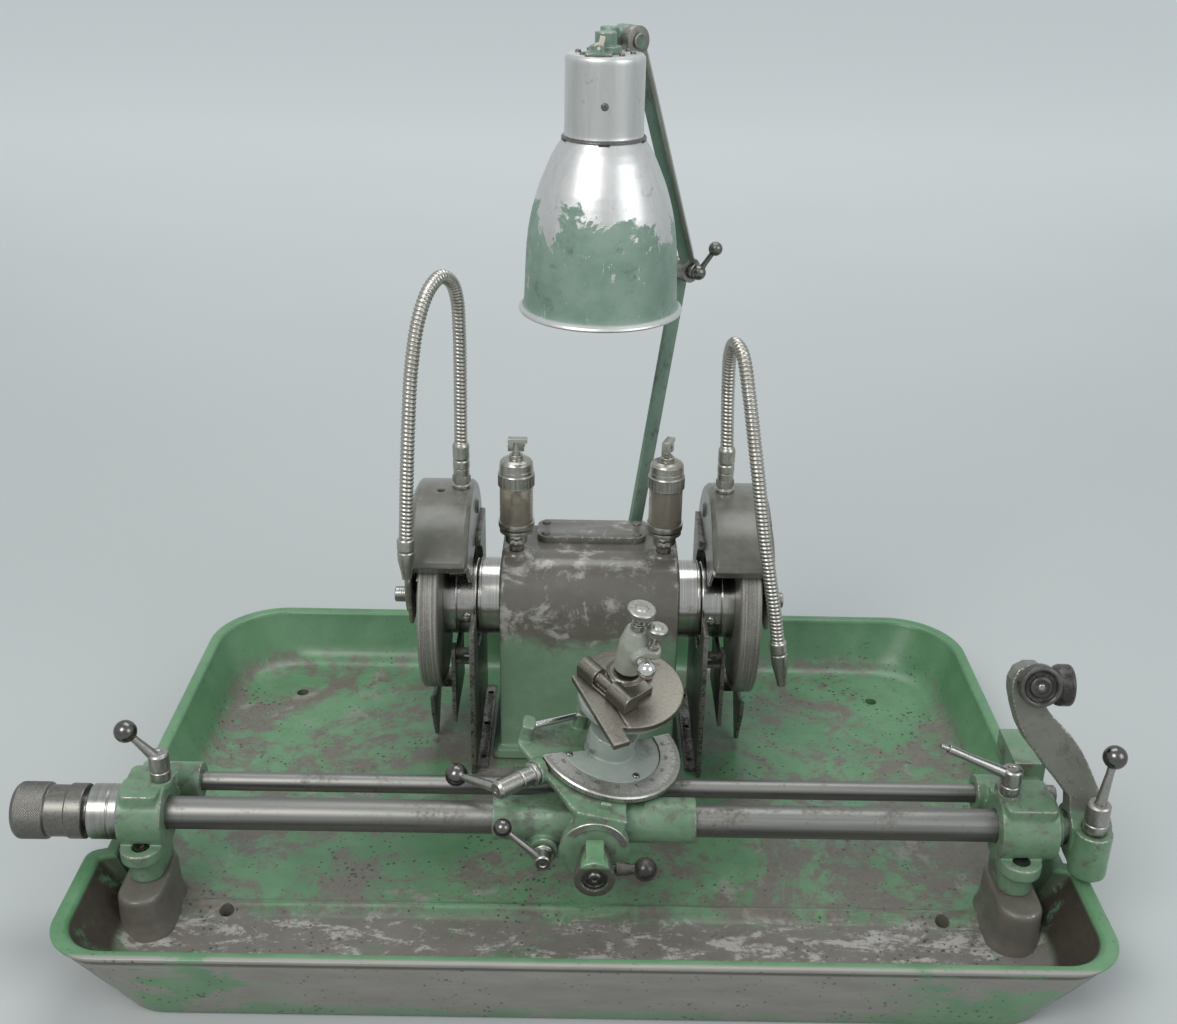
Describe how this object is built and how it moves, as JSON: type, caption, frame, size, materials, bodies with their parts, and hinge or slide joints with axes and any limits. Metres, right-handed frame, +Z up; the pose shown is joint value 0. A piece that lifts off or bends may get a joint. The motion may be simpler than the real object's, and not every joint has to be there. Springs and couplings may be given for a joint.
{
  "type": "bench drill bit sharpener",
  "caption": "Cast drip tray machine with a double-ended wheel spindle, guards, oilers and coolant hoses, a rocking tube with a tilting drill table, micrometer feed, hand arm and jointed lamp.",
  "frame": {"origin": "centre of the pattern of the tray's mounting bolts, on the face its feet stand on", "axes": "+Z up, +X to the operator's right along the spindle and the slide bars, -Y towards the operator"},
  "size_m": [0.953, 0.585, 0.746],
  "materials": {
    "tray_green": "worn workshop green, satin",
    "headstock_paint": "dark grey-brown over green, worn, glossy",
    "guard_paint": "dark grey-brown, worn to bright edges",
    "green_paint": "worn green, satin",
    "lamp_paint": "grey-green, chipped",
    "shade_metal": "bare spun aluminium with chipped grey-green paint",
    "bare_steel": "turned, oily",
    "bright_steel": "polished",
    "dark_steel": "blackened, oily",
    "cast_dark": "machined, oily",
    "hose_metal": "interlocked strip, dull",
    "wheel_body": "grinding wheel face, grey-brown, gritty",
    "bronze": "bearing bronze",
    "oiler_brass": "dull plated brass",
    "oiler_glass": "oil-stained glass",
    "black_knob": "black bakelite",
    "cream_post": "cream grey, worn",
    "dial_metal": "dull, engraved divisions",
    "bulb_glass": "frosted",
    "socket_plastic": "black bakelite",
    "switch_plastic": "yellowed white"
  },
  "bodies": {
    "base": {"tray": "tray_green", "bracket_screws": "dark_steel", "headstock": "headstock_paint", "headstock_cover": "headstock_paint", "bearing_bushes": "bronze", "bearing_caps": "dark_steel", "guard_left": "guard_paint", "guard_right": "guard_paint", "guard_plates": "guard_paint", "hose_unions": "oiler_brass", "oiler_bases": "oiler_brass", "oiler_glasses": "oiler_glass", "oiler_caps": "oiler_brass", "oiler_needles": "bare_steel", "bracket_left": "green_paint", "bracket_right": "green_paint", "rear_bar": "bare_steel", "feed_sleeve": "bare_steel", "lamp_base": "lamp_paint"},
    "spindle": {"spindle": "bare_steel", "pulley": "cast_dark", "wheel_hubs": "bare_steel", "wheels": "wheel_body", "wheel_nuts": "dark_steel"},
    "hose_left": {"gooseneck_left": "hose_metal"},
    "hose_right": {"gooseneck_right": "hose_metal"},
    "toggle_left": {"oiler_toggle_left": "oiler_brass"},
    "toggle_right": {"oiler_toggle_right": "oiler_brass"},
    "bracket_lever_left": {"bracket_lever_left": "bare_steel"},
    "bracket_lever_right": {"bracket_lever_right": "bare_steel"},
    "feed_knob": {"feed_knob": "bare_steel"},
    "quill": {"feed_quill": "bare_steel"},
    "tube": {"front_tube": "bare_steel"},
    "arm": {"arm": "green_paint"},
    "arm_lever": {"arm_lever": "bare_steel"},
    "arm_knob_front": {"arm_knob_front": "black_knob"},
    "arm_knob_side": {"arm_knob_side": "black_knob"},
    "carriage": {"saddle": "green_paint", "pivot_horn": "green_paint"},
    "saddle_lever": {"saddle_lever": "bare_steel"},
    "tilt_knob": {"tilt_knob": "black_knob"},
    "tilt": {"tilt_casting": "green_paint", "index_pin": "bright_steel"},
    "swivel_lever": {"swivel_lever": "bare_steel"},
    "swivel": {"dial": "dial_metal", "table_base": "green_paint", "table": "cast_dark", "clamp_block": "cast_dark"},
    "post": {"clamp_post": "cream_post"},
    "post_lever": {"post_lever": "bright_steel"},
    "top_thumbscrew": {"top_thumbscrew": "bare_steel"},
    "side_thumbscrew": {"side_thumbscrew": "bare_steel"},
    "lamp_lower": {"lamp_lower_arm": "lamp_paint"},
    "lamp_clamp_lever": {"lamp_clamp_lever": "dark_steel"},
    "lamp_upper": {"lamp_upper_arm": "lamp_paint"},
    "lamp_head": {"lamp_yoke": "lamp_paint", "lamp_shade": "shade_metal", "lamp_socket": "socket_plastic", "lamp_bulb": "bulb_glass"},
    "lamp_switch": {"lamp_switch": "switch_plastic"}
  },
  "joints": [
    {"name": "spindle_spin", "type": "hinge", "parent": "base", "child": "spindle", "pos_m": [0, 0.118, 0.183], "axis": [1, 0, 0], "continuous": true},
    {"name": "hose_left_swing", "type": "hinge", "parent": "base", "child": "hose_left", "pos_m": [-0.13, 0.122, 0.325], "axis": [0, 0, 1], "range_deg": [-15, 15]},
    {"name": "hose_right_swing", "type": "hinge", "parent": "base", "child": "hose_right", "pos_m": [0.134, 0.122, 0.325], "axis": [0, 0, 1], "range_deg": [-15, 15]},
    {"name": "toggle_left_flip", "type": "hinge", "parent": "base", "child": "toggle_left", "pos_m": [-0.075, 0.118, 0.3515], "axis": [1, 0, 0], "range_deg": [0, 90]},
    {"name": "toggle_right_flip", "type": "hinge", "parent": "base", "child": "toggle_right", "pos_m": [0.075, 0.118, 0.3515], "axis": [0.342, 0.9397, 0], "range_deg": [0, 90]},
    {"name": "bracket_lever_left_turn", "type": "hinge", "parent": "base", "child": "bracket_lever_left", "pos_m": [-0.37, -0.16, 0.147], "axis": [0, 0, 1], "range_deg": [-25, 25]},
    {"name": "bracket_lever_right_turn", "type": "hinge", "parent": "base", "child": "bracket_lever_right", "pos_m": [0.367, -0.16, 0.147], "axis": [0, 0, 1], "range_deg": [-25, 25]},
    {"name": "feed_knob_turn", "type": "hinge", "parent": "base", "child": "feed_knob", "pos_m": [-0.47, -0.165, 0.115], "axis": [1, 0, 0], "range_deg": [-720, 720]},
    {"name": "feed_slide", "type": "slide", "parent": "base", "child": "quill", "axis": [1, 0, 0], "range_m": [-0.003, 0.003]},
    {"name": "tube_rock", "type": "hinge", "parent": "quill", "child": "tube", "pos_m": [0, -0.165, 0.115], "axis": [1, 0, 0], "range_deg": [-5, 8]},
    {"name": "arm_turn", "type": "hinge", "parent": "tube", "child": "arm", "pos_m": [0.436, -0.165, 0.115], "axis": [1, 0, 0], "range_deg": [-15, 6]},
    {"name": "arm_lever_turn", "type": "hinge", "parent": "arm", "child": "arm_lever", "pos_m": [0.436, -0.186, 0.126], "axis": [0, 0, 1], "range_deg": [-30, 30]},
    {"name": "arm_knob_front_turn", "type": "hinge", "parent": "arm", "child": "arm_knob_front", "pos_m": [0.38, -0.14458, 0.24902], "axis": [0, -0.9659, 0.2588], "continuous": true},
    {"name": "arm_knob_side_turn", "type": "hinge", "parent": "arm", "child": "arm_knob_side", "pos_m": [0.399, -0.13261, 0.2396], "axis": [1, 0, 0], "continuous": true},
    {"name": "carriage_slide", "type": "slide", "parent": "tube", "child": "carriage", "axis": [1, 0, 0], "range_m": [-0.22, 0.22]},
    {"name": "saddle_lever_turn", "type": "hinge", "parent": "carriage", "child": "saddle_lever", "pos_m": [-0.037, -0.2, 0.1], "axis": [0, 1, 0], "range_deg": [-30, 30]},
    {"name": "tilt_knob_turn", "type": "hinge", "parent": "carriage", "child": "tilt_knob", "pos_m": [0.03, -0.217, 0.103], "axis": [1, 0, 0], "continuous": true},
    {"name": "tilt_swing", "type": "hinge", "parent": "carriage", "child": "tilt", "pos_m": [0.007, -0.19, 0.107], "axis": [0, 1, 0], "range_deg": [-5, 2.5]},
    {"name": "swivel_lever_turn", "type": "hinge", "parent": "tilt", "child": "swivel_lever", "pos_m": [-0.036, -0.145, 0.154], "axis": [-0.7411, -0.6705, 0.0353], "range_deg": [-20, 2]},
    {"name": "swivel_turn", "type": "hinge", "parent": "tilt", "child": "swivel", "pos_m": [0.01934, -0.115, 0.15804], "axis": [0.215, -0.1132, 0.97], "range_deg": [-12, 12]},
    {"name": "post_turn", "type": "hinge", "parent": "swivel", "child": "post", "pos_m": [0.0326, -0.08827, 0.21143], "axis": [0.0424, -0.23, 0.9723], "range_deg": [-20, 20]},
    {"name": "post_lever_turn", "type": "hinge", "parent": "post", "child": "post_lever", "pos_m": [0.03789, -0.09435, 0.24652], "axis": [0.4013, -0.8904, -0.2149], "continuous": true},
    {"name": "top_thumbscrew_turn", "type": "hinge", "parent": "post", "child": "top_thumbscrew", "pos_m": [0.0326, -0.08827, 0.21143], "axis": [0.1469, -0.1689, 0.9746], "continuous": true},
    {"name": "side_thumbscrew_turn", "type": "hinge", "parent": "post", "child": "side_thumbscrew", "pos_m": [0.04891, -0.09477, 0.20784], "axis": [0.1469, -0.1689, 0.9746], "continuous": true},
    {"name": "lamp_swivel", "type": "hinge", "parent": "base", "child": "lamp_lower", "pos_m": [0.05, 0.194, 0.226], "axis": [0, 0, 1], "range_deg": [-60, 30]},
    {"name": "lamp_elbow", "type": "hinge", "parent": "lamp_lower", "child": "lamp_upper", "pos_m": [0.088, 0.187, 0.514], "axis": [0.6702, -0.7422, 0], "range_deg": [-20, 10]},
    {"name": "lamp_clamp_lever_turn", "type": "hinge", "parent": "lamp_lower", "child": "lamp_clamp_lever", "pos_m": [0.088, 0.187, 0.514], "axis": [0.6702, -0.7422, 0], "range_deg": [-20, 20]},
    {"name": "lamp_head_tilt", "type": "hinge", "parent": "lamp_upper", "child": "lamp_head", "pos_m": [0.028, 0.137, 0.733], "axis": [0.6702, -0.7422, 0], "range_deg": [-20, 8]},
    {"name": "lamp_switch_rock", "type": "hinge", "parent": "lamp_head", "child": "lamp_switch", "pos_m": [-0.001, 0.071, 0.7334], "axis": [0, 1, 0], "range_deg": [-24, 0]}
  ],
  "couplings": [
    {"joint": "feed_knob_turn", "follows": "feed_slide", "rad_per_m": 4188.7}
  ]
}
